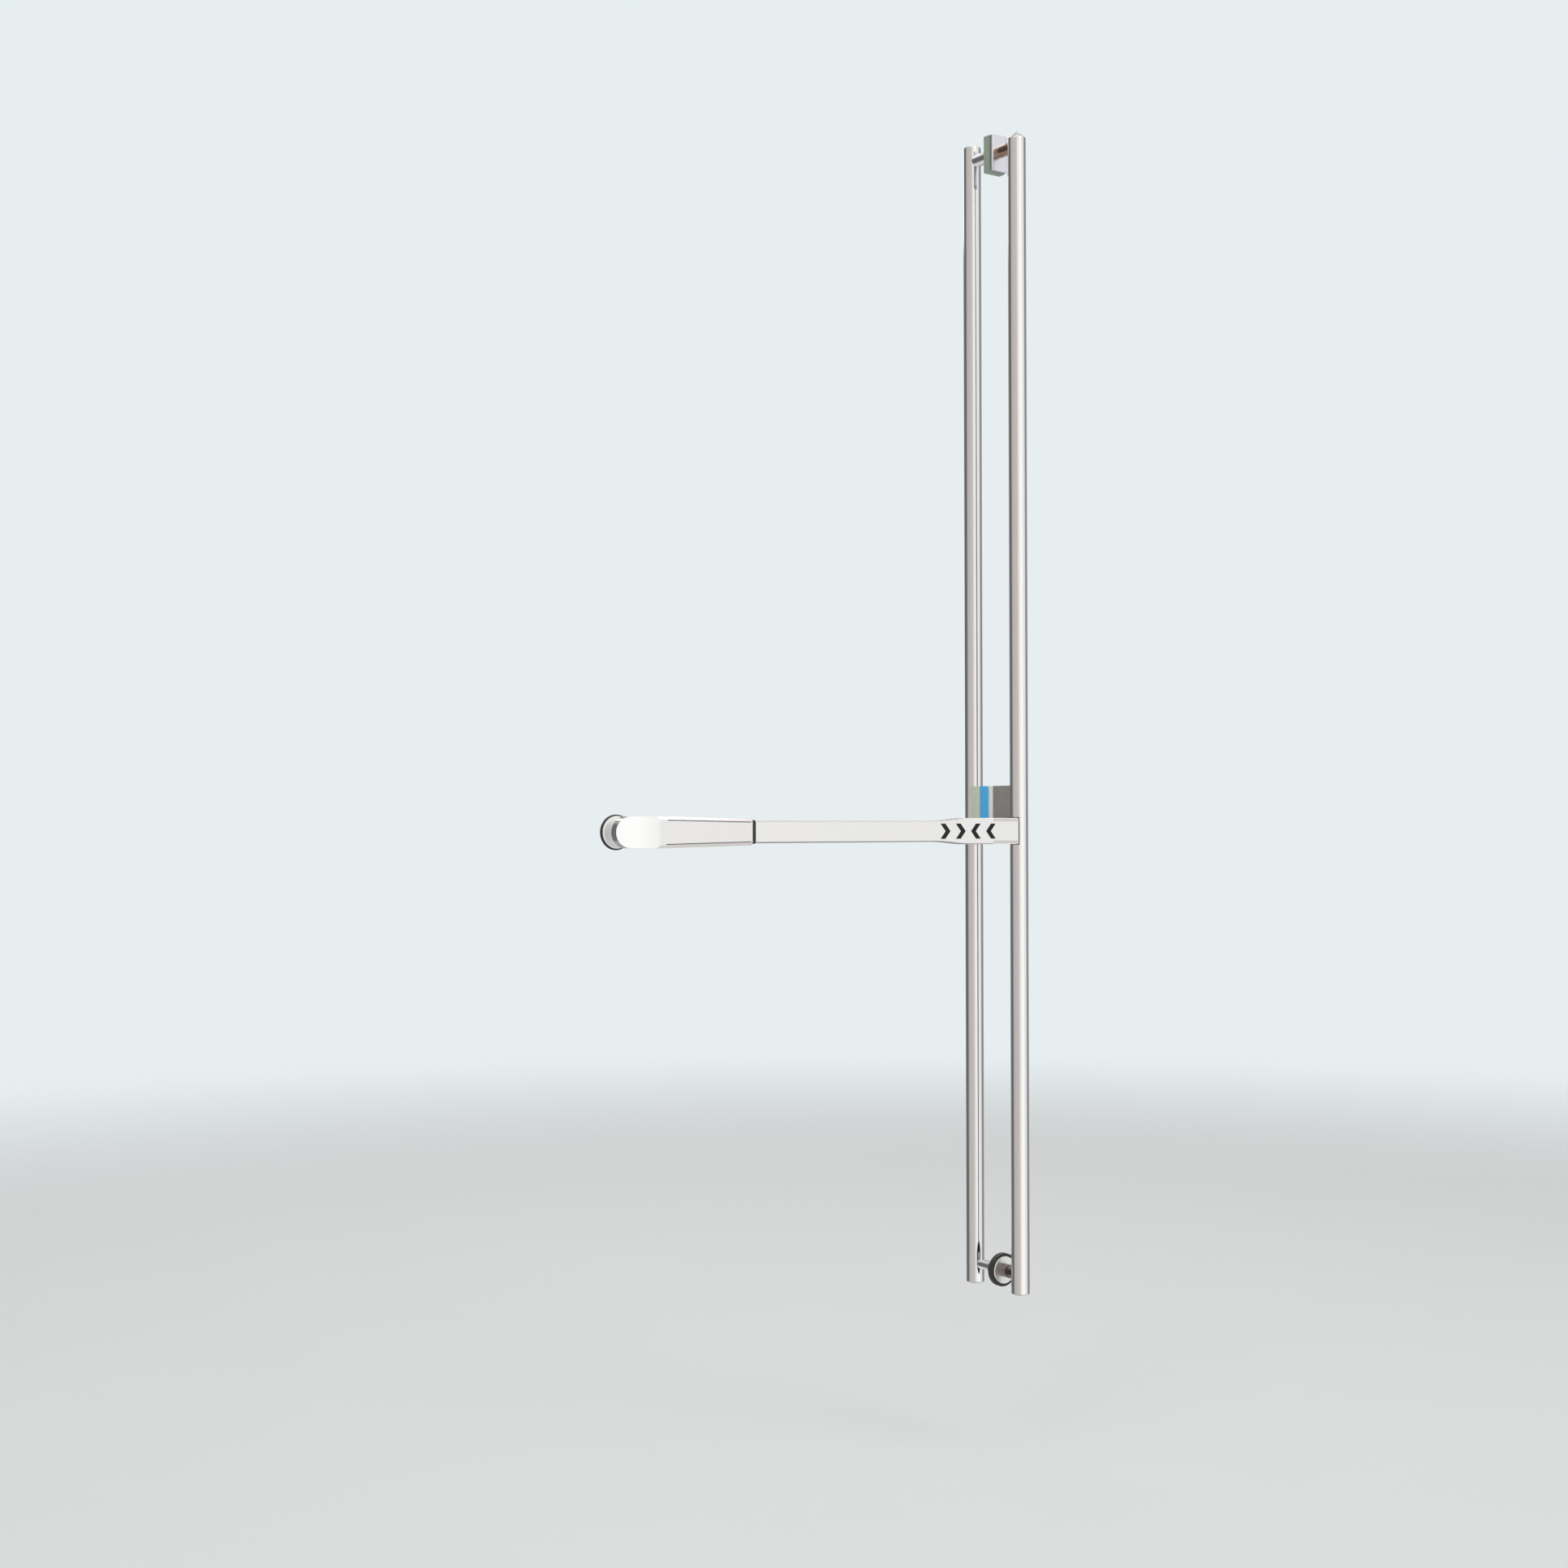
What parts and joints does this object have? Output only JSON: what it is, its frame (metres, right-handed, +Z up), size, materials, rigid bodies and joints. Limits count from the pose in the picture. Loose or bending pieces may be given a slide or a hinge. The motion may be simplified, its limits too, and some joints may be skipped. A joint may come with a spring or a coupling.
{
  "type": "panic exit bar",
  "caption": "Glass-door panic exit device: hinged push bar, latch tube with bell crank and rod bolt, fixed arm with boss, and a back-to-back outside pull tube.",
  "frame": {"origin": "on the inner face plane of the glass leaf, level with the push bar, in line with both tubes", "axes": "+X from the hinge side to the lock side, +Y from inside to outside through the leaf, +Z up"},
  "size_m": [0.751, 0.1389, 1.8315],
  "materials": {
    "polished_steel": "polished stainless steel",
    "smoked_steel": "smoked bronze polish",
    "satin_steel": "turned steel",
    "bolt_steel": "ground hardened steel",
    "spring_steel": "drawn spring wire",
    "bar_satin": "fine satin stainless steel",
    "block_satin": "satin stainless steel",
    "case_grey": "dark satin grey coating",
    "cream_polymer": "moulded cream nylon",
    "blue_film": "blue protective film on the block",
    "sage_polymer": "moulded sage saddle",
    "green_liner": "green-tinted clear liner",
    "nylon": "natural nylon",
    "bronze": "sintered bronze",
    "black_rubber": "black rubber",
    "black_enamel": "black enamel fill",
    "black_oxide": "black oxide steel"
  },
  "bodies": {
    "root": {"latch_tube": "polished_steel", "latch_top_cap": "polished_steel", "latch_bottom_plug": "polished_steel", "lower_rod_guide": "satin_steel", "upper_rod_guides": "nylon", "guide_grub_screws": "black_oxide", "return_spring": "spring_steel", "crank_pin": "satin_steel", "operator_case": "case_grey", "case_back_plate": "case_grey", "case_plate_screws": "satin_steel", "case_tube_screws": "black_oxide", "glass_spacer": "cream_polymer", "outer_block": "blue_film", "outer_saddle": "sage_polymer", "outer_block_screws": "black_oxide", "pull_tube_anchor": "satin_steel", "arm_line_inlays": "black_enamel", "hinge_pin": "satin_steel", "fixed_arm": "bar_satin", "arm_back_plate": "bar_satin", "joint_gasket": "black_rubber", "boss_flange": "polished_steel", "boss_seal": "black_rubber", "boss_body": "polished_steel", "boss_stud": "satin_steel", "outer_rosette": "polished_steel", "inner_gaskets": "black_rubber", "outer_gaskets": "black_rubber", "mid_stud": "satin_steel", "top_block": "block_satin", "notch_liner": "green_liner", "top_post": "smoked_steel", "pull_top_post": "polished_steel", "top_stud": "satin_steel", "bottom_collar": "polished_steel", "bumper_ring": "black_rubber", "bottom_post": "smoked_steel", "pull_bottom_post": "polished_steel", "bottom_stud": "satin_steel", "post_grub_screws": "black_oxide", "pull_tube": "polished_steel", "pull_tube_plugs": "polished_steel"},
    "bar": {"push_bar": "bar_satin", "push_mark_infill": "black_enamel", "hinge_knuckle": "satin_steel", "hinge_bushes": "bronze", "bar_tongue": "satin_steel", "pusher_pin": "satin_steel", "pusher_tip": "nylon", "bar_dowels": "satin_steel", "bar_back_plate": "bar_satin"},
    "crank": {"bell_crank": "satin_steel", "crank_bush": "bronze"},
    "rod": {"latch_bolt": "bolt_steel", "latch_rod": "satin_steel", "rod_yoke": "satin_steel", "draw_pin": "satin_steel", "spring_collar": "satin_steel"}
  },
  "joints": [
    {"name": "bar_press", "type": "hinge", "parent": "root", "child": "bar", "pos_m": [-0.52, -0.0515, 0], "axis": [0, 0, 1], "range_deg": [0, 1.2]},
    {"name": "crank_turn", "type": "hinge", "parent": "root", "child": "crank", "pos_m": [0, -0.024, 0.03], "axis": [1, 0, 0], "range_deg": [0, 21.4]},
    {"name": "rod_slide", "type": "slide", "parent": "root", "child": "rod", "axis": [0, 0, 1], "range_m": [-0.0098, 0], "stiffness_N_per_m": 600, "springref_m": 0.025, "deforming": ["return_spring"]}
  ],
  "couplings": [
    {"joint": "crank_turn", "follows": "bar_press", "ratio": 17.729},
    {"joint": "rod_slide", "follows": "bar_press", "m_per_rad": -0.46105}
  ]
}
